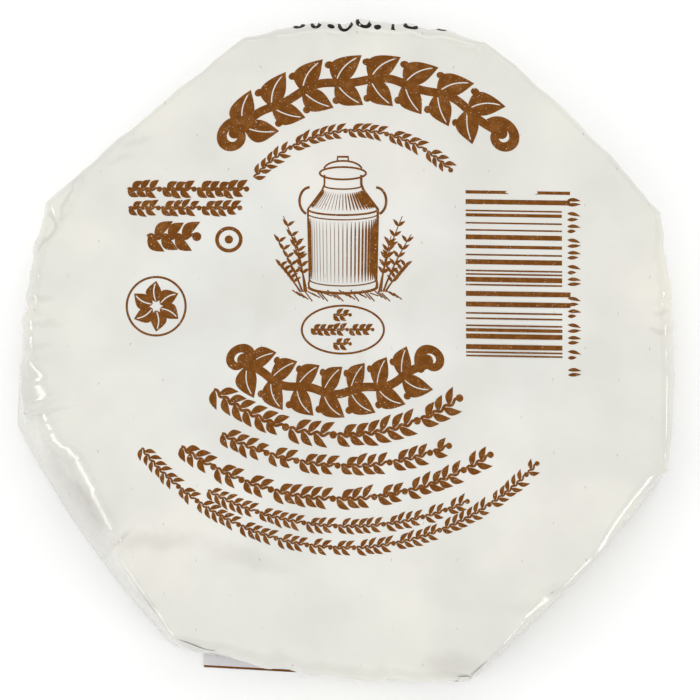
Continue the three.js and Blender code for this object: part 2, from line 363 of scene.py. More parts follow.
def pinch_relief(t, side, from_edge, down):
    """Small pinches of the taut edges, which catch the light."""
    relief = np.zeros(from_edge.shape)
    ranges = (CRUMPLED, CRUMPLE_WIDTH, CRUMPLE_HEIGHT, CRUMPLE_REACH)
    crumples = rng.uniform(*zip(*ranges), (CRUMPLES, len(ranges)))
    crumples[::2, 2] *= -1
    for place, width, height, reach in [*PINCHES, *crumples]:
        k = int(place)
        away = (t - place) * side_length(k) / width
        profile = ridge(away, 0.03, 1.3) * (side == k)
        relief += height * profile[:, None] * np.exp(-from_edge / reach) * (1 - PINCH_FADE * down)
    return relief


def crinkle_relief(t, from_edge, down):
    """Small uneven dents along the edge of the face, which die away over the face and down the wall."""
    swing = np.zeros_like(t)
    for length, height in CRINKLES:
        waves = round(2 * math.pi * MEAN_REACH / length)
        swing += height * np.sin(t * 2 * math.pi / SIDES * waves + rng.uniform(0, 2 * math.pi))
    swing *= along_side(t, GATHERED, 1.0)
    return swing[:, None] * np.exp(-from_edge / CRINKLE_REACH) * (1 - CRINKLE_FADE * down)


def film_points():
    """All points of the film, columns by rows, from the middle of the face to the middle underneath."""
    t, creep, side, inner = film_columns()
    tuck = np.where(TUCKED[side], TUCK_DEPTH, 0.0)
    edge, shoulder = outline(t, 0), shoulder_at(t)
    face_edge = inward(edge, shoulder)
    rim = crown(face_edge) - droop(t)
    flats, heights, leans, from_edge, downs = [], [], [], [], []

    def add(flat, height, lean, distance=0.0, down=0.0):
        """A row of points. Its lean is how far it faces outwards, from 0, up or down, to 1."""
        flats.append(flat)
        heights.append(np.broadcast_to(height, t.shape))
        leans.append(lean)
        from_edge.append(np.broadcast_to(distance, t.shape))
        downs.append(down)

    for i in range(FACE_ROWS + 1):
        out = 1 - (1 - i / FACE_ROWS) ** ROWS_CROWD
        flat = face_edge * out
        distance = np.linalg.norm(face_edge, axis=1) * (1 - out)
        height = crown(flat) - droop(t) * np.exp(-distance / DROOP_REACH)
        add(flat, height + face_relief(flat[:, 0], flat[:, 1]), 0.0, distance)
    bevel = along_side(t, EDGE_BEVEL, np.where(TUCKED[side], 0, BEVEL))
    drop = shoulder * lerp(1, BEVEL_DROP, np.clip(bevel / BEVEL, 0, 1))
    for i in range(1, SHOULDER_ROWS + 1):
        share = i / SHOULDER_ROWS
        turn = share * QUARTER_TURN
        flat = inward(edge, shoulder * lerp(1 - math.sin(turn), 1 - share, bevel))
        height = rim - drop * lerp(1 - math.cos(turn), share, bevel)
        add(flat, height + face_relief(flat[:, 0], flat[:, 1]) * (1 - share), math.sin(turn))
    clear = 1 - arch(t - np.floor(t)) ** 0.5
    for i in range(1, WALL_ROWS + 1):
        down = i / WALL_ROWS
        hollow = WALL_HOLLOW * clear * math.sin(math.pi * down) * ~TUCKED[side]
        wall = inward(outline(t + creep * down, down), tuck * down + hollow)
        add(wall, lerp(rim - drop, BASE_ROUND, down), 1.0, 0.0, down)
    foot = flats[-1]
    for i in range(1, ROUND_ROWS + 1):
        turn = i / ROUND_ROWS * QUARTER_TURN
        lean = 1 - i / ROUND_ROWS
        add(inward(foot, np.full(t.shape, BASE_ROUND * (1 - math.cos(turn)))),
            lerp(BASE_ROUND, tuck, math.sin(turn)), lean, 0.0, 1.0)
    floor_edge = inward(foot, np.full(t.shape, BASE_ROUND))
    waves = sum(h * np.sin(2 * math.pi * n * t + n) for n, h in UNDER_WAVES)
    for i in range(1, FLOOR_ROWS + 1):
        share = i / FLOOR_ROWS
        flat = lerp(floor_edge, inner, share**1.4)
        gone = np.clip(np.linalg.norm(flat - floor_edge, axis=1) / UNDER_SLOPE, 0, 1)
        under_tucks = lerp(TUCK_DEPTH, UNDER_HEIGHT, share) + waves * math.sin(math.pi * share)
        add(flat, np.where(tuck > 0, under_tucks, UNDER_HEIGHT * gone), 0.0, FAR, 1.0)
    for i in range(1, MIDDLE_ROWS + 1):
        add(inner * (1 - i / MIDDLE_ROWS), UNDER_HEIGHT, 0.0, FAR, 1.0)

    flats, heights = np.stack(flats, 1), np.stack(heights, 1)
    from_edge, downs = np.stack(from_edge, 1), np.array(downs)[None, :]
    relief = pleat_relief(t, side, from_edge, downs) + crinkle_relief(t, from_edge, downs)
    relief += pinch_relief(t, side, from_edge, downs)
    lean = np.array(leans)[None, :]
    outward = flats / np.maximum(np.linalg.norm(flats, axis=2, keepdims=True), 1e-9)
    flats = flats + outward * (relief * lean)[..., None]
    rises = np.arange(flats.shape[1]) <= FACE_ROWS + SHOULDER_ROWS
    heights = heights + relief * np.sqrt(1 - lean**2) * rises
    points = np.concatenate([flats, heights[..., None]], 2)
    points[:, 0] = points[:, 0].mean(0)
    points[:, -1] = points[:, -1].mean(0)
    return t, points


def to_frame(points):
    """Millimetres of the shape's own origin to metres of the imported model's frame."""
    return (np.asarray(points) + SHIFT) * MM


def mesh_object(name, points, faces, material, smooth_angle=35):
    """A piece made of points in millimetres. It rides on the one body and takes its finish from a slot."""
    mesh = bpy.data.meshes.new(name)
    mesh.from_pydata(to_frame(points).tolist(), [], [list(f) for f in faces])
    mesh.validate()
    mesh.shade_smooth()
    mesh.set_sharp_from_angle(angle=math.radians(smooth_angle))
    mesh.materials.append(material)
    piece = bpy.data.objects.new(name, mesh)
    bpy.context.scene.collection.objects.link(piece)
    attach(piece, "root")
    return piece


def welded(points, quads):
    """Joins points that lie together, and drops what then has no area."""
    _, first, number = np.unique(
        np.round(points / WELD).astype(np.int64), axis=0, return_index=True, return_inverse=True)
    faces = []
    for face in number.reshape(-1)[quads].tolist():
        kept = [v for i, v in enumerate(face) if v != face[i - 1]]
        if len(set(kept)) == len(kept) >= 3:
            faces.append(kept)
    return points[first], faces


def film_mesh():
    t, grid = film_points()
    columns, rows = grid.shape[:2]
    here = np.arange(columns)[:, None] * rows + np.arange(rows - 1)[None, :]
    there = np.roll(np.arange(columns), -1)[:, None] * rows + np.arange(rows - 1)[None, :]
    quads = np.stack([here, here + 1, there + 1, there], -1).reshape(-1, 4)
    return t, grid, *welded(grid.reshape(-1, 3), quads)


def thin_sheet(top, thickness):
    """A closed sheet from a grid of points, thickened downwards."""
    return between(top, top - np.array([0, 0, thickness]))


def between(top, low):
    """A closed piece between two grids of points."""
    number = np.arange(top.shape[0] * top.shape[1]).reshape(top.shape[:2])
    quads = np.stack([number[:-1, :-1], number[1:, :-1], number[1:, 1:], number[:-1, 1:]], -1)
    return closed_shell(top.reshape(-1, 3), low.reshape(-1, 3), quads.reshape(-1, 4).tolist())


def closed_shell(top, low, faces):
    """A closed piece from its outer and inner points: the same faces twice, and walls between their edges."""
    half = len(top)
    edges = {(face[i - 1], face[i]) for face in faces for i in range(len(face))}
    walls = [[b, a, a + half, b + half] for a, b in edges if (b, a) not in edges]
    return np.concatenate([top, low]), [*faces, *([v + half for v in face[::-1]] for face in faces), *walls]


# Colours

class Finish:
    """A material, with short ways to add nodes to it and to join their sockets."""

    def __init__(self, name, roughness, specular=0.5):
        self.material = bpy.data.materials.new(name)
        self.material.use_nodes = True
        self.tree = self.material.node_tree
        self.place = self.add("ShaderNodeTexCoord").outputs["Object"]
        self.set("Roughness", roughness)
        self.set("Specular IOR Level", specular)

    def set(self, key, value):
        """Gives an input of the shader a value or a socket."""
        self.join(value, self.tree.nodes["Principled BSDF"].inputs[key])

    def join(self, value, socket):
        if isinstance(value, bpy.types.NodeSocket):
            self.tree.links.new(value, socket)
        else:
            socket.default_value = value

    def add(self, kind, inputs=None, **settings):
        node = self.tree.nodes.new(kind)
        for key, value in settings.items():
            setattr(node, key, value)
        for key, value in (inputs or {}).items():
            self.join(value, node.inputs[key])
        return node

    def math(self, operation, a, b=0.0):
        return self.add("ShaderNodeMath", {0: a, 1: b}, operation=operation).outputs[0]

    def vector(self, operation, a, b=(0, 0, 0), output=0):
        return self.add("ShaderNodeVectorMath", {0: a, 1: b}, operation=operation).outputs[output]

    def noise(self, scale, detail, output=0, **more):
        inputs = {"Vector": self.place, "Scale": scale, "Detail": detail, **more}
        return self.add("ShaderNodeTexNoise", inputs).outputs[output]

    def mapped(self, value, low, high, first=0.0, last=1.0, way="LINEAR"):
        inputs = {0: value, 1: low, 2: high, 3: first, 4: last}
        return self.add("ShaderNodeMapRange", inputs, interpolation_type=way).outputs[0]

    def mixed(self, share, a, b):
        return self.add("ShaderNodeMixRGB", {0: share, 1: a, 2: b}).outputs[0]

    def bump(self, strength, distance, height):
        inputs = {"Strength": strength, "Distance": distance, "Height": height}
        self.set("Normal", self.add("ShaderNodeBump", inputs).outputs[0])


FILM_WHITE = (0.75, 0.73, 0.682, 1)
FILM_COOL = (0.72, 0.728, 0.692, 1)
FILM_CREAM = (0.75, 0.735, 0.638, 1)
FILM_DIM = (0.665, 0.657, 0.611, 1)
# Painted shade, towards which the film is darkened in its creases, at its corners and on the lower left wall
FILM_PAINTED_SHADE = (0.35, 0.33, 0.29, 1)
SPECK = (0.22, 0.2, 0.13, 1)
# Painted shade, towards which the film is darkened low on its walls
WALL_PAINTED_SHADE = (0.2, 0.2, 0.2, 1)
INK = (0.155, 0.050, 0.005, 1)
INK_PALE = (0.235, 0.09, 0.018, 1)
DATE_INK = (0.012, 0.012, 0.012, 1)
DATE_INK_PALE = (0.03, 0.03, 0.03, 1)
TONGUE_GREY = (0.77, 0.74, 0.77, 1)
# Grey of the folds' bare film: partly its own look without cheese behind it, partly painted shade
FOLD_SHADED_GREY = (0.66, 0.655, 0.62, 1)

# How fine the patterns of the film and of the ink are, as scales of their noise
CLOUDS, PATCHES, MOTTLES, STRAYS, SMEARS, FILM_CRINKLES = 38.0, 60.0, 62.0, 300.0, 160.0, 240.0
INK_CLOUDS, PINHOLES = 900.0, 4200.0

# Where the film turns creamy, from the middle outwards, and where the painted shade low on the walls fades,
# from below
CREAM_RING, WALL_PAINTED_SHADE_HEIGHTS = (34, 60), (14, 17.2)

# Tiny holes in the film: distance between their columns and within one, their half width and length, and how
# far they stray and lean
HOLE_COLUMNS, HOLE_PITCH, HOLE_WIDTH, HOLE_LENGTH = 5.4, 11.8, 0.09, 0.32
HOLE_STRAY, HOLE_LEAN = 0.9, 1.6

# Painted shade: spots where the film is darkened for shade along its creases, at its corners and on the lower
# left wall turned away from the light, and a few faint clouds of its own tone: middle, half length, half
# width, direction in degrees and how dark. They fade out towards their uneven edges, and below this height.
PAINTED_SHADES = [
    (-31.0, -32.4, 11, 2.4, 1, 0.2), (-16.4, -35.2, 11, 2.6, -17, 0.17), (30.7, -43.0, 5, 2.0, 12, 0.13),
    (34.6, -40.6, 6, 1.8, 14, 0.11), (17.6, -53.0, 6, 3.0, 4, 0.26), (-50.6, 8.0, 4.2, 0.9, 8, 0.16),
    (-49.8, 3.8, 4.8, 1.0, 5, 0.14), (-51.0, 0.2, 4.2, 0.8, -4, 0.14), (-34.3, 34.6, 4.2, 0.9, 14, 0.14),
    (-37.2, 31.6, 3.6, 0.8, 20, 0.12), (52.6, 2.7, 3.4, 0.7, -4, 0.2), (53.1, 5.8, 2.4, 0.7, 4, 0.18),
    (-5.7, 45.5, 8, 2.2, 84, 0.08), (-13.5, 4.7, 10, 2.2, 80, 0.07), (3.4, -4.5, 8, 1.0, 86, 0.08),
    (-45.6, -24.4, 15, 3.8, -55, 0.55), (-48.0, -20.7, 3.4, 1.7, -60, 0.55),
    (-41.4, -32.4, 4.6, 1.9, -52, 0.55), (-33.8, -42.2, 9, 1.7, -52, 0.45), (-46.2, 24.6, 7, 0.6, 63, 0.24),
    (-49.9, 17.8, 3.4, 0.6, 53, 0.22), (-48.7, 21.7, 2.2, 0.5, 116, 0.26), (42, 26, 9, 4, 60, 0.05),
]
PAINTED_SHADE_TOP, PAINTED_SHADE_DEPTH, PAINTED_SHADE_STRAY = 18, 12, 3


def hole_specks(film):
    """How dark the film is for its tiny holes. Every other column is half a step further on."""
    part = film.add("ShaderNodeSeparateXYZ", {0: film.place}).outputs
    x = film.math("MULTIPLY", part[0], 1 / (HOLE_COLUMNS * MM))
    column = film.math("FLOOR", x)
    odd = film.math("MULTIPLY", film.math("MODULO", film.math("ADD", column, 100.0), 2.0), 0.5)
    y = film.math("ADD", film.math("MULTIPLY", part[1], 1 / (HOLE_PITCH * MM)), odd)
    cell = film.add("ShaderNodeCombineXYZ", {0: column, 1: film.math("FLOOR", y)}).outputs[0]
    chance = film.add("ShaderNodeTexWhiteNoise", {0: cell}, noise_dimensions="3D").outputs
    shake = film.add("ShaderNodeSeparateXYZ", {0: chance["Color"]}).outputs

    def off_middle(value, jitter, pitch):
        share = film.math("SUBTRACT", film.math("FRACT", value), 0.5)
        stray = film.math("MULTIPLY", film.math("SUBTRACT", jitter, 0.5), HOLE_STRAY / pitch)
        return film.math("MULTIPLY", film.math("ADD", share, stray), pitch)

    dx, dy = off_middle(x, shake[0], HOLE_COLUMNS), off_middle(y, shake[1], HOLE_PITCH)
    lean = film.math("MULTIPLY", film.math("SUBTRACT", shake[2], 0.5), HOLE_LEAN)
    dx = film.math("ADD", dx, film.math("MULTIPLY", dy, lean))
    across = film.math("POWER", film.math("DIVIDE", dx, HOLE_WIDTH), 2.0)
    along = film.math("POWER", film.math("DIVIDE", dy, HOLE_LENGTH), 2.0)
    inside = film.math("SUBTRACT", 1.0, film.math("ADD", across, along))
    dark = film.math("MULTIPLY", inside, film.math("MULTIPLY", chance["Value"], 0.8))
    return film.add("ShaderNodeClamp", {0: dark}).outputs[0]


def painted_shade_spots(film):
    """How much painted shade the film gets in its creases, at its corners and on the lower left wall."""
    stray = film.vector("SUBTRACT", film.noise(STRAYS, 2.0, "Color"), (0.5, 0.5, 0.5))
    stray = film.vector("MULTIPLY", stray, (PAINTED_SHADE_STRAY * MM, PAINTED_SHADE_STRAY * MM, 0))
    uneven = film.vector("ADD", film.place, stray)
    darkest = 0.0
    for x, y, half_length, half_width, angle, dark in PAINTED_SHADES:
        centre, turn = (x * MM, y * MM, PAINTED_SHADE_TOP * MM), (0.0, 0.0, math.radians(angle))
        reach = (half_length * MM, half_width * MM, PAINTED_SHADE_DEPTH * MM)
        inputs = {0: uneven, 1: centre, 2: turn, 3: reach}
        spot = film.add("ShaderNodeMapping", inputs, vector_type="TEXTURE").outputs[0]
        away = film.vector("LENGTH", spot, output="Value")
        darkest = film.math("MAXIMUM", darkest, film.mapped(away, 0.15, 1.0, dark, 0.0, "SMOOTHSTEP"))
    return darkest


def film_material(name, white, cool, cream, dim):
    """Glossy white film over cheese, with soft clouds, creamier towards the rim, tiny holes in rows, and
    painted shade low on its walls, in its creases and at its corners.
    """
    film = Finish(name, 0.15)
    speck = hole_specks(film)
    base = film.mixed(film.mapped(film.noise(CLOUDS, 3.0, Roughness=0.55), 0.4, 0.64), cool, white)
    stray = film.math("MULTIPLY", film.math("SUBTRACT", film.noise(PATCHES, 2.0), 0.5), 0.03)
    reach = film.math("ADD", film.vector("LENGTH", film.place, output="Value"), stray)
    creamy = film.mixed(film.mapped(reach, *[r * MM for r in CREAM_RING], 0.0, 0.6), base, cream)
    dimmed = film.mixed(film.mapped(film.noise(MOTTLES, 3.0), 0.36, 0.64, 1.0, 0.0), creamy, dim)
    height = film.add("ShaderNodeSeparateXYZ", {0: film.place}).outputs[2]
    # Painted shade: the film grows darker down the lower part of its walls
    wall = film.mapped(height, *[z * MM for z in WALL_PAINTED_SHADE_HEIGHTS], 0.12, 0.0)
    # Painted shade in the listed spots, along creases, at corners and on the lower left wall
    clear = film.mixed(painted_shade_spots(film), film.mixed(wall, dimmed, WALL_PAINTED_SHADE), FILM_PAINTED_SHADE)
    film.set("Base Color", film.mixed(speck, clear, SPECK))
    film.set("Roughness", film.mapped(film.noise(SMEARS, 4.0), 0.3, 0.7, 0.09, 0.2))
    inputs = {0: film.place, 2: (0.0, 0.0, 0.6), 3: (1.0, 0.45, 1.0)}
    stretched = film.add("ShaderNodeMapping", inputs).outputs[0]
    crinkle = film.noise(FILM_CRINKLES, 1.5, Vector=stretched, Distortion=0.6)
    film.bump(0.07, 0.0003, film.math("SUBTRACT", crinkle, film.math("MULTIPLY", speck, 0.8)))
    return film.material


def ink_material(name, deep, pale):
    """Printing ink, a little uneven, with pinholes through which the film shows."""
    ink = Finish(name, 0.45, 0.06)
    cloudy = ink.noise(INK_CLOUDS, 3.0)
    tone = ink.mixed(ink.mapped(cloudy, 0.42, 0.78), deep, pale)
    pinhole = ink.mapped(ink.noise(PINHOLES, 1.0), 0.7, 0.76, 0.0, 0.7)
    ink.set("Base Color", ink.mixed(pinhole, tone, FILM_CREAM))
    ink.bump(0.08, 0.0001, cloudy)
    return ink.material


def floor_material():
    floor = Finish("pale_floor", 0.9, 0.1)
    floor.set("Base Color", floor.mixed(floor.noise(3.0, 2.0), (0.98, 0.98, 0.98, 1), (1, 1, 1, 1)))
    return floor.material


# The film

places, film_grid, film_surface, film_faces = film_mesh()


def frame_shift():
    """What brings the middle of the shape, with its tongue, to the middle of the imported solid."""
    low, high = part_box("wrapped_cheese")
    middle = np.array([(low.x + high.x) / 2, (low.y + high.y) / 2, 0]) / MM
    corners = np.concatenate([film_surface, np.array([(*p, 0) for p in TONGUE])])
    return middle - np.array([*(corners.min(0) + corners.max(0))[:2] / 2, 0])


SHIFT = frame_shift()


def build_film(material):
    film = mesh_object("film_wrapper", film_surface, film_faces, material)
    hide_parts("wrapped_cheese")


def folded_sheet(k, order):
    """The film of taut side k where it is folded under the pack, below the sheets folded before it."""
    across, along = 71, 81
    v, u = np.linspace(0, 1, along)[None, :], np.linspace(0, 1, across)[:, None]
    places = lerp(k - creep_share(k - 1), k + 1 + creep_share(k + 1), u[:, 0])
    start = inward(outline(places, 1), BASE_ROUND + 0.2)
    tip_way = -outline(k + 0.5, 1)
    tip = tip_way / np.linalg.norm(tip_way) * TIP_OVERSHOOT + (start[-1] - start[0]) * TIP_WIDTH * (u - 0.5)
    flat = lerp(start[:, None], tip[:, None], v[..., None])
    height = lerp(SHEET_THICKNESS + 0.01, UNDER_HEIGHT - 0.05 - SHEET_STEP * order,
                  np.clip(v / SHEETS_APART, 0, 1) ** 1.5)
    wrinkles = sum(h * np.sin(2 * math.pi * (n * u + turns * v) + order) for n, turns, h in SHEET_WRINKLES)
    height = np.maximum(height + wrinkles * np.interp(v, *zip(*WRINKLE_GROWTH)), SHEET_THICKNESS)
    return thin_sheet(np.concatenate([flat, height[..., None]], 2), SHEET_THICKNESS)


def build_under(material):
    for order, k in enumerate(np.flatnonzero(~TUCKED)):
        points, faces = folded_sheet(k, order)
        mesh_object(f"folded_sheet_{order + 1}", points, faces, material)


def tongue_grid(first, last):
    """Points of the tongue's upper face, from its free edge inwards between two shares of its depth."""
    left, right, inner_right, inner_left = np.array(TONGUE)
    u, v = np.linspace(0, 1, 61)[:, None], np.linspace(first, last, 9)[None, :]
    flat = lerp(lerp(left, right, u[..., None]), lerp(inner_left, inner_right, u[..., None]), v[..., None])
    height = TONGUE_HEIGHT + 0.06 * np.sin(14 * u) * (1 - v) + 0.02 * np.sin(31 * u + 2 * v)
    return np.concatenate([flat, np.broadcast_to(height, flat.shape[:2])[..., None]], 2)


def build_tongue(material, ink):
    """The free edge of the wrapper under the front side, with a thin brown line along it."""
    points, faces = thin_sheet(tongue_grid(0, 1), TONGUE_THICKNESS)
    mesh_object("film_tongue", points, faces, material)
    points, faces = thin_sheet(tongue_grid(*TONGUE_LINE) + [0, 0, INK_RISE], INK_DEPTH)
    mesh_object("tongue_line", points, faces, ink)


def build_standing_folds(film, bare_shaded_film):
    """Small folds of film that stand out of the wall at the front corners, most of all near the top."""
    u, v = np.meshgrid(np.linspace(0, 1, 33), np.linspace(0, 1, 33), indexing="ij")
    for number, (first, last, out, high, low, roundness, narrowing, bare) in enumerate(STANDING_FOLDS):
        height = lerp(high, low, v)
        swell = np.maximum(np.sin(math.pi * u), 0) ** roundness * np.maximum(np.sin(math.pi * v**0.4), 0)
        place = lerp(first, lerp(last, first, narrowing * v), u)
        flat = inward(outline(place, 1 - height / RIM_HEIGHT), FOLD_ROOT - (out + FOLD_ROOT) * swell)
        outer = np.concatenate([flat, height[..., None]], 2)
        inner = np.concatenate([inward(flat, SHEET_THICKNESS), height[..., None]], 2)
        points, faces = between(outer, inner)
        mesh_object(f"standing_fold_{number + 1}", points, faces, bare_shaded_film if bare else film)


# The print. Shapes are polygons in millimetres on the face, and are laid on the film as thin shells: how far
# they stand out of the film and reach into it, and the size and place of the whole print. Shells are cut this
# finely, the brown print and the marks across the back edge.
INK_RISE, INK_DEPTH = 0.03, 0.06
PRINT_SIZE, PRINT_PLACE = 0.9915, (0.67, -0.34)
PRINT_GRID, DATE_GRID = 0.9, 0.45


def stroke(line, width):
    """The polygons of a line drawn with a pen whose width may change along the way."""
    line = np.asarray(line, float)
    width = np.broadcast_to(width, len(line)) / 2
    way = np.gradient(line, axis=0)
    way /= np.maximum(np.linalg.norm(way, axis=1, keepdims=True), 1e-9)
    aside = np.stack([-way[:, 1], way[:, 0]], 1) * width[:, None]
    left, right = line + aside, line - aside
    return [np.array([right[i], right[i + 1], left[i + 1], left[i]]) for i in range(len(line) - 1)]


def disc(x, y, radius, sides=20):
    turn = np.linspace(0, 2 * math.pi, sides, endpoint=False)
    return [np.stack([x + radius * np.cos(turn), y + radius * np.sin(turn)], 1)]


def ellipse_line(x, y, half_width, half_height, start=0, end=360, steps=72):
    turn = np.radians(np.linspace(start, end, steps + 1))
    return np.stack([x + half_width * np.cos(turn), y + half_height * np.sin(turn)], 1)


def leaf_lines(x, y, angle, length, width, bend, steps):
    """Shares along a leaf, its middle line, its half width as steps aside, and the direction aside."""
    share = np.linspace(0, 1, steps + 1)
    turn = math.radians(angle)
    along, aside = np.array([math.cos(turn), math.sin(turn)]), np.array([-math.sin(turn), math.cos(turn)])
    bow = np.sin(math.pi * share) * bend * length
    middle = np.array([x, y]) + np.outer(share * length, along) + np.outer(bow, aside)
    return share, middle, width / 2 * np.sin(math.pi * share**0.8)[:, None] * aside, aside


def leaf(x, y, angle, length, width, bend, steps):
    """A pointed leaf that starts at a point and leans at an angle in degrees."""
    _, middle, half, _ = leaf_lines(x, y, angle, length, width, bend, steps)
    return [np.concatenate([middle - half, (middle + half)[-2:0:-1]])]


def veined_leaf(x, y, angle, length, width, bend, vein):
    """A bold pointed leaf in two halves, with a vein of bare film between them."""
    share, middle, half, aside = leaf_lines(x, y, angle, length, width, bend, 18)
    gap = (vein / 2 * np.clip(np.sin(math.pi * share) * 2.5, 0, 1) * (share < 0.86))[:, None] * aside
    return [np.concatenate([middle + way * gap, (middle + way * half)[-2:0:-1]]) for way in (1, -1)]


def curl(x, y, radius, width, start, turns, hand):
    """A bold spiral that tightens inwards."""
    share = np.linspace(0, 1, 40)
    turn = math.radians(start) + hand * share * turns * 2 * math.pi
    reach = radius * (1 - 0.72 * share)
    line = np.stack([x + reach * np.cos(turn), y + reach * np.sin(turn)], 1)
    ends = disc(*line[-1], width * 0.62) + disc(*line[0], width / 2)
    return stroke(line, width * (1 - 0.25 * share)) + ends


def on_arc(shapes, centre, radius, start, hand):
    """Bends shapes onto a circle: hand -1 goes over the top of it, and 1 goes along the bottom."""
    bent = []
    for shape in shapes:
        turn = np.radians(start) + hand * shape[:, 0] / radius
        reach = radius - hand * shape[:, 1]
        bent.append(np.stack([centre[0] + reach * np.cos(turn), centre[1] + reach * np.sin(turn)], 1))
    return bent


def moved(shapes, x, y, size=1.0):
    return [shape * size + np.array([x, y]) for shape in shapes]


def garland(length, height, pairs):
    """A bold straight garland: pairs of veined leaves and berries on a wavy stem, and a curl at each end."""
    u = np.linspace(-1, length + 1, 90)
    step = length / pairs

    def stem(x):
        return height * (0.5 + 0.05 * np.sin(math.pi * x / step))

    shapes = stroke(np.stack([u, stem(u)], 1), 1.45)
    for i in range(pairs):
        x = (i + 0.05) * step
        for way in (1, -1):
            shapes += veined_leaf(x, stem(x), way * 47, height * 0.73, height * 0.47, way * 0.1, 0.2)
            if i < pairs - 1:
                shapes += disc(x + 0.92 * step, stem(x) + way * height * 0.39, 0.62)
    for x, hand in ((-1.7, 1), (length + 1.7, -1)):
        shapes += curl(x, height * 0.5, 2.6, 1.7, 0 if hand == 1 else 180, 1.1, hand)
    return shapes


def sprigs(length, height, width, pitch, dice):
    """A row of small twigs of uneven length, with leaves to either side in turn and a berry at each tip."""
    shapes, x, middle = [], 0.0, height / 2
    while x + 1.6 * pitch < length:
        leaves = 2 * min(int(dice.integers(2, 7)), int((length - x) / pitch - 0.5))
        tip = x + (leaves / 2 + 0.4) * pitch
        line = np.linspace(x, tip, 5 * leaves + 1)
        stem = middle + 0.07 * height * np.sin(2 * math.pi * (line - x) / pitch)
        shapes += stroke(np.stack([line, stem], 1), height * 0.13)
        for i in range(leaves):
            way, at = 1 if i % 2 else -1, x + (i / 2 + 0.02) * pitch
            angle, long = way * dice.uniform(34, 46), height * dice.uniform(0.76, 0.9)
            shapes += leaf(at, middle, angle, long, width, way * 0.1, 9)
        shapes += disc(tip + 0.1 * height, middle, height * 0.17, 12)
        x = tip + pitch * 0.5
    return shapes


# The milk churn: its half widths at heights, its hoops (height, droop, pen), the heights and droop of its
# upright lines, and the stalks beside it (lean in degrees, length)
CHURN = [(0, 5.6), (0.5, 5.9), (1, 5.6), (13.4, 5.9), (16.6, 3.5), (17.6, 3.1), (19.2, 3.1), (19.4, 3.6)]
HOOPS = [(0.25, 1.1, 0.45), (1.5, 1.1, 0.2), (12.6, 1.0, 0.2), (13.4, 1.0, 0.32), (17.4, 0.6, 0.25)]
CHURN_LINES = [(1.9, 12.2, 1.05), (13.9, 16.9, 0.8)]
STALKS = [(72, 13.5), (84, 9.5), (58, 11.5), (42, 7.5)]


def churn():
    """A milk churn, drawn with upright lines as in an old engraving. They are bolder to the right."""
    def half_width(y):
        return np.interp(y, *zip(*CHURN))

    y = np.concatenate([np.linspace(0, 13.4, 20), np.linspace(13.6, 19.2, 24)])
    shapes = []
    for side, pen, first, last in ((-1, 0.3, 90, 250), (1, 0.42, -70, 90)):
        shapes += stroke(np.stack([side * half_width(y), y], 1), pen)
        shapes += stroke(ellipse_line(side * 5.6, 14.8, 1.7, 2.3, first, last), 0.42)
    for level, drop, pen in HOOPS:
        shapes += stroke(ellipse_line(0, level, half_width(level), drop, 180, 360, 30), pen)
    shapes += stroke(ellipse_line(0, 19.5, 3.9, 1.05), 0.32)
    shapes += stroke(ellipse_line(0, 20.1, 3.2, 1.5, 8, 172, 30), 0.3)
    shapes += stroke([(-0.9, 21.5), (-0.9, 22.3), (0.9, 22.3), (0.9, 21.5)], 0.36)
    for turn in np.radians(np.arange(-84, 85, 7)):
        pen = 0.08 + 0.34 * max(0.0, math.sin(turn + 0.35)) ** 1.5 + (0.22 if turn < -1.15 else 0)
        for low, high, drop in CHURN_LINES:
            line = np.linspace(low, high, 14)
            x = half_width(line) * math.sin(turn)
            fade = np.clip(1.5 * np.sin(math.pi * (line - low) / (high - low)) + 0.25, 0.2, 1)
            shapes += stroke(np.stack([x, line - drop * math.cos(turn)], 1), pen * fade)
    return shapes


def grass():
    """Leafy stalks to either side of the churn, and short strokes of ground."""
    shapes, share = [], np.linspace(0, 1, 16)
    for side in (-1, 1):
        for i, (lean, long) in enumerate(STALKS):
            base, bend = side * (6.1 + 0.35 * i), long * 0.3 * share**2
            x = base + side * (share * long * math.cos(math.radians(lean)) * 0.55 + bend * 0.4)
            stem = np.stack([x, -0.6 + share * long * math.sin(math.radians(lean))], 1)
            shapes += stroke(stem, lerp(0.34, 0.12, share))
            for at in (5, 7, 9, 11, 13):
                for angle, bend in ((35, 0.05), (125, -0.05)):
                    shapes += leaf(*stem[at], angle, 1.5, 0.55, bend, 8)
    for i, x in enumerate(np.linspace(-8.5, 8.5, 27)):
        shapes += stroke([(x, -0.3 - 0.25 * (i % 3)), (x + 1.4, -1.3 - 0.3 * (i % 4))], 0.2)
    return shapes


# Garlands on arcs: length, height, pairs of leaves; centre, radius, first angle and hand of the arc
GARLANDS = [
    ((40.6, 8.0, 8), ((3.02, 14.9), 27.0, 133.0, -1)),
    ((36.4, 8.0, 7), ((-2.35, 19.9), 31.0, 236.0, 1)),
]

# Sprigs on arcs (centre, radius, first and last angle, hand), in rows and in the oval (left end and length),
# each with its height, leaf width and pitch
ARCS = [
    ((1.0, 14.8), 21.2, 140, 40, -1, 2.4, 0.75, 1.35),
    ((-1.3, 19.9), 36.2, 231, 306.5, 1, 3.9, 1.3, 2.2),
    ((-0.3, 24.9), 46.0, 241.5, 293, 1, 3.2, 1.1, 1.85),
    ((-1.4, 20.7), 47.4, 234, 303.5, 1, 3.3, 1.1, 1.85),
    ((-0.2, 19.8), 50.7, 241.5, 294.5, 1, 2.5, 0.75, 1.4),
    ((-0.7, 10.2), 44.7, 218, 318, 1, 2.5, 0.75, 1.4),
]
ROWS = [
    (-37.5, 25.9, 20.4, 2.7, 1.1, 1.5),
    (-37.3, 22.8, 19.4, 2.5, 0.95, 1.4),
    (-34.1, 16.9, 10.8, 4.6, 1.8, 2.3),
]
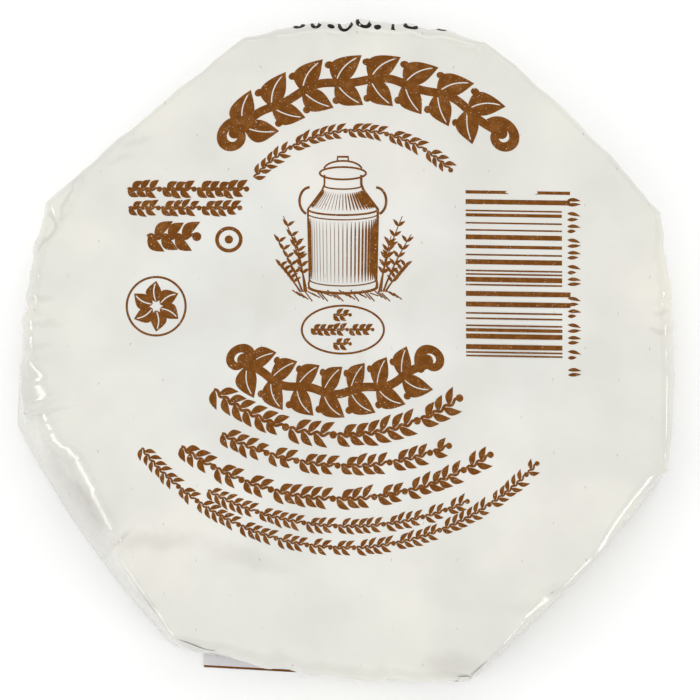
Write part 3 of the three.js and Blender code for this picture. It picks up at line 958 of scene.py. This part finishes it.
OVAL_ROWS = [
    (-2.8, 5.0, 3.6, 1.8, 0.75, 1.1),
    (-6.6, 2.5, 11.2, 1.8, 0.75, 1.1),
    (-2.8, 0.1, 3.6, 1.8, 0.75, 1.1),
]

# Middles of the ring, the rosette and the oval, and the place of the churn
RING, ROSETTE, OVAL, CHURN_PLACE = (-20.4, 18.7), (-32.6, 7.4), (-1.2, 3.4), (-1.2, 10.4)


def print_shapes():
    """All the brown print, in millimetres on the face."""
    dice = np.random.default_rng(5)
    shapes = []

    def add_rows(rows):
        for x, y, length, height, width, pitch in rows:
            shapes.extend(moved(sprigs(length, height, width, pitch, dice), x, y))

    for size, arc in GARLANDS:
        shapes += on_arc(garland(*size), *arc)
    for centre, radius, first, last, hand, height, width, pitch in ARCS:
        length = abs(last - first) * math.pi / 180 * radius
        shapes += on_arc(sprigs(length, height, width, pitch, dice), centre, radius, first, hand)
    add_rows(ROWS)
    shapes += stroke(ellipse_line(*RING, 2.0, 1.9), 0.62) + disc(*RING, 0.7)
    shapes += stroke(ellipse_line(*ROSETTE, 4.95, 4.95), 0.36)
    for turn in range(30, 390, 60):
        way = np.array([math.cos(math.radians(turn)), math.sin(math.radians(turn))])
        shapes += veined_leaf(*(ROSETTE + 0.7 * way), turn, 3.6, 2.7, 0.12, 0.22)
    shapes += stroke(ellipse_line(*OVAL, 6.9, 4.05, 0, 360, 90), 0.34)
    add_rows(OVAL_ROWS)
    shapes += moved(churn() + grass(), *CHURN_PLACE) + stripes(dice)
    return moved(shapes, *PRINT_PLACE, PRINT_SIZE)


# The block of stripes: its left end, top and foot, its narrowest width, how full of ink a stripe is, the
# length of a stripe and of a long one, and which ones are long
STRIPES_LEFT, STRIPES_TOP, STRIPES_FOOT, MODULE, FULLNESS = 19.5, 27.1, -1.3, 0.3, 0.92
STRIPE, LONG_STRIPE, LONG_STRIPES = 16.2, 17.6, (0, 1, 14, 15, 28, 29)


def stripes(dice):
    """A block of stripes of uneven width, with a column of small marks beside it."""
    y, count, shapes = STRIPES_TOP, 0, []
    while y > STRIPES_FOOT:
        bar, gap = (int(dice.choice([1, 1, 2, 3])) * MODULE for _ in range(2))
        end = STRIPES_LEFT + (LONG_STRIPE if count in LONG_STRIPES else STRIPE)
        shapes += stroke([(STRIPES_LEFT, y - bar / 2), (end, y - bar / 2 - 0.25)], bar * FULLNESS)
        y -= bar + gap
        count += 1
    for row in range(13):
        top = 25.4 - row * 2.25 - (0.9 if row > 6 else 0) - (0.9 if row > 11 else 0)
        tall = 1.5 + 0.5 * (row % 2)
        shapes += leaf(36.6, top, -4 - 9 * (row % 2), 2.3, 0.62, 0.06, 8)
        shapes += leaf(36.6, top - tall * 0.55, 3, 2.3 - 0.4 * (row % 3), 0.62, 0, 8)
    return shapes


def laid_shell(shapes, on_film, grid):
    """Joins polygons into one flat shape, cuts it finely enough to follow the film, and lays it on the film as
    a closed thin shell. on_film gives the film's point and outward direction for a point of the flat shape."""
    points, faces = [], []
    for shape in shapes:
        x, y = shape[:, 0], shape[:, 1]
        area = np.sum(x * np.roll(y, -1) - np.roll(x, -1) * y) / 2
        if abs(area) < 1e-5:
            continue
        loop = shape if area > 0 else shape[::-1]
        faces.append(list(range(len(points), len(points) + len(loop))))
        points += [tuple(p) for p in loop]
    low, high = np.min(points, 0), np.max(points, 0)
    for x in np.arange(low[0], high[0], grid):
        points += [(x, y) for y in np.arange(low[1], high[1], grid)]
    found, _, triangles, _, _, origins = delaunay_2d_cdt([Vector(p) for p in points], [], faces, 0, 1e-5)
    kept = [t for t, from_faces in zip(triangles, origins) if from_faces]
    used, number = np.unique(kept, return_inverse=True)
    kept = number.reshape(-1, 3)
    film, out = map(np.array, zip(*[on_film(found[i].x, found[i].y) for i in used]))
    return closed_shell(film + out * INK_RISE, film - out * INK_DEPTH, kept.tolist())


def build_print(ink):
    """The brown print, laid on the face from straight above."""
    tree = BVHTree.FromPolygons([Vector(p) for p in film_surface], film_faces)

    def on_face(x, y):
        hit = tree.ray_cast(Vector((x, y, 60)), Vector((0, 0, -1)))[0]
        return (hit.x, hit.y, hit.z), (0.0, 0.0, 1.0)

    points, faces = laid_shell(print_shapes(), on_face, PRINT_GRID)
    mesh_object("brown_print", points, faces, ink, 60)


# The dark marks across the back edge: kind, place along the edge, half width. They start on the face on one
# straight line, which lies this far in from the middle of the edge, and end a little way down the wall.
DATE_MARKS = [
    ("bow", -11.0, 0.62), ("bow", -8.2, 0.55), ("dot", -5.7, 0.42), ("bow", -3.2, 0.95), ("bow", -0.1, 1.0),
    ("dot", 2.3, 0.42), ("bar", 5.0, 0.36), ("bow", 7.9, 0.92), ("bow", 13.0, 0.5),
]
DATE_SIDE, DATE_LINE, DATE_END, DATE_PEN = 1, 2.05, 0.8, 0.7


def build_date_marks(t, grid, ink):
    """Dark bows, dots and bars printed across the back edge, measured along it and down from its end."""
    first = FACE_ROWS - 12
    edge_row = FACE_ROWS + SHOULDER_ROWS - first
    columns = np.flatnonzero((t >= DATE_SIDE) & (t <= DATE_SIDE + 1))
    columns = columns[np.unique(t[columns], return_index=True)[1]]
    places, patch = t[columns], grid[columns][:, first:FACE_ROWS + SHOULDER_ROWS + 12]
    length = side_length(DATE_SIDE)
    steps = np.linalg.norm(np.diff(patch[len(patch) // 2], axis=0), axis=1)
    travel = np.concatenate([[0], np.cumsum(steps)])
    travel -= travel[edge_row]

    def film_at(x, y):
        row = np.interp(y, travel, np.arange(len(travel)))
        low = min(int(row), len(travel) - 2)
        line = lerp(patch[:, low], patch[:, low + 1], row - low)
        place = DATE_SIDE + 0.5 - x / length
        return np.array([np.interp(place, places, line[:, axis]) for axis in range(3)])

    def foot_at(x):
        """Where the marks start: the rounded edge is curved along its length, and their line is straight."""
        depth = DATE_LINE - TOP_BULGE[DATE_SIDE] * (2 * x / length) ** 2
        return -SHOULDER[DATE_SIDE] * math.acos(1 - depth / SHOULDER[DATE_SIDE])

    def on_edge(x, y):
        here = film_at(x, y)
        out = np.cross(film_at(x + 0.3, y) - here, film_at(x, y + 0.3) - here)
        return here, out / np.linalg.norm(out)

    for number, (kind, x, half_width) in enumerate(DATE_MARKS):
        foot = foot_at(x) + DATE_PEN / 2
        if kind == "bow":
            bend = ellipse_line(x, foot + half_width, half_width, half_width, 180, 360, 24)
            shapes = stroke([(x - half_width, DATE_END), *bend, (x + half_width, DATE_END)], DATE_PEN)
        elif kind == "bar":
            shapes = stroke([(x, foot), (x, DATE_END)], half_width * 2)
        else:
            shapes = disc(x, foot + half_width, half_width * 1.5)
        points, faces = laid_shell(shapes, on_edge, DATE_GRID)
        mesh_object(f"date_mark_{number + 1}", points, faces, ink, 60)


# Floor, light and camera

def area_light(name, place, target, size, size_y, power):
    light = bpy.data.lights.new(name, "AREA")
    light.shape, light.size, light.size_y, light.energy = "RECTANGLE", size, size_y, power
    obj = bpy.data.objects.new(name, light)
    obj.location = place
    obj.rotation_euler = (Vector(target) - Vector(place)).to_track_quat("-Z", "Y").to_euler()
    bpy.context.scene.collection.objects.link(obj)


# The camera: distance in metres, elevation in degrees, the photo's scale at the face, its side in pixels, and
# the place that the camera aims at, in millimetres
CAMERA_DISTANCE, CAMERA_ELEVATION, MM_PER_PIXEL, PHOTO_SIDE = 0.75, 84.5, 0.1666, 700
AIM = (*PRINT_PLACE, 18.5)

# Soft lights: place and target in metres, length, width and watts. Then how bright the world around them is,
# and how far the floor reaches, in metres.
LIGHTS = {
    "overhead_softbox": ((-0.22, 0.16, 1.6), (0, 0, 0), 2.2, 2.2, 11.0),
    "back_softbox": ((0.1, 0.8, 0.5), (0, 0, 0.01), 1.0, 0.3, 2.0),
    "front_left_strip": ((-0.556, -0.308, 0.26), (-0.03, -0.02, 0.01), 0.6, 0.09, 1.2),
    "front_right_strip": ((0.53, -0.35, 0.26), (0.03, -0.02, 0.01), 0.4, 0.08, 1.0),
    "right_strip": ((0.62, -0.03, 0.26), (0.05, 0, 0.01), 0.12, 0.05, 0.25),
    "left_strip": ((-0.62, -0.05, 0.26), (-0.05, 0, 0.01), 0.07, 0.07, 0.12),
}
WORLD_LIGHT, FLOOR_REACH = 0.56, 1.5


def build_camera():
    data = bpy.data.cameras.new("camera")
    data.sensor_width = 36
    data.lens = data.sensor_width * CAMERA_DISTANCE / (PHOTO_SIDE * MM_PER_PIXEL * MM)
    camera = bpy.data.objects.new("camera", data)
    turn = math.radians(CAMERA_ELEVATION)
    back = Vector((0, -math.cos(turn), math.sin(turn)))
    camera.location = Vector(to_frame(AIM)) + back * CAMERA_DISTANCE
    camera.rotation_euler = (-back).to_track_quat("-Z", "Y").to_euler()
    data.clip_start, data.clip_end = 0.01, 20
    bpy.context.scene.collection.objects.link(camera)
    bpy.context.scene.camera = camera


def build_stage():
    mesh = bpy.data.meshes.new("floor")
    corners = [(x * FLOOR_REACH, y * FLOOR_REACH, 0) for x, y in ((-1, -1), (1, -1), (1, 1), (-1, 1))]
    mesh.from_pydata(corners, [], [(0, 1, 2, 3)])
    mesh.materials.append(floor_material())
    floor = bpy.data.objects.new("floor", mesh)
    bpy.context.scene.collection.objects.link(floor)
    world = bpy.data.worlds.new("studio")
    world.use_nodes = True
    background = world.node_tree.nodes["Background"].inputs
    background["Color"].default_value, background["Strength"].default_value = (1, 1, 1, 1), WORLD_LIGHT
    bpy.context.scene.world = world
    for name, light in LIGHTS.items():
        area_light(name, *light)
    bpy.context.scene.view_settings.view_transform = "Standard"


film = film_material("wrapping_film", FILM_WHITE, FILM_COOL, FILM_CREAM, FILM_DIM)
bare_shaded_film = film_material("bare_shaded_film", *[FOLD_SHADED_GREY] * 4)
tongue_film = film_material("tongue_film", *[TONGUE_GREY] * 4)
brown = ink_material("brown_ink", INK, INK_PALE)
black = ink_material("black_ink", DATE_INK, DATE_INK_PALE)
build_film(film)
build_under(film)
build_tongue(tongue_film, brown)
build_standing_folds(film, bare_shaded_film)
build_print(brown)
build_date_marks(places, film_grid, black)
build_stage()
build_camera()
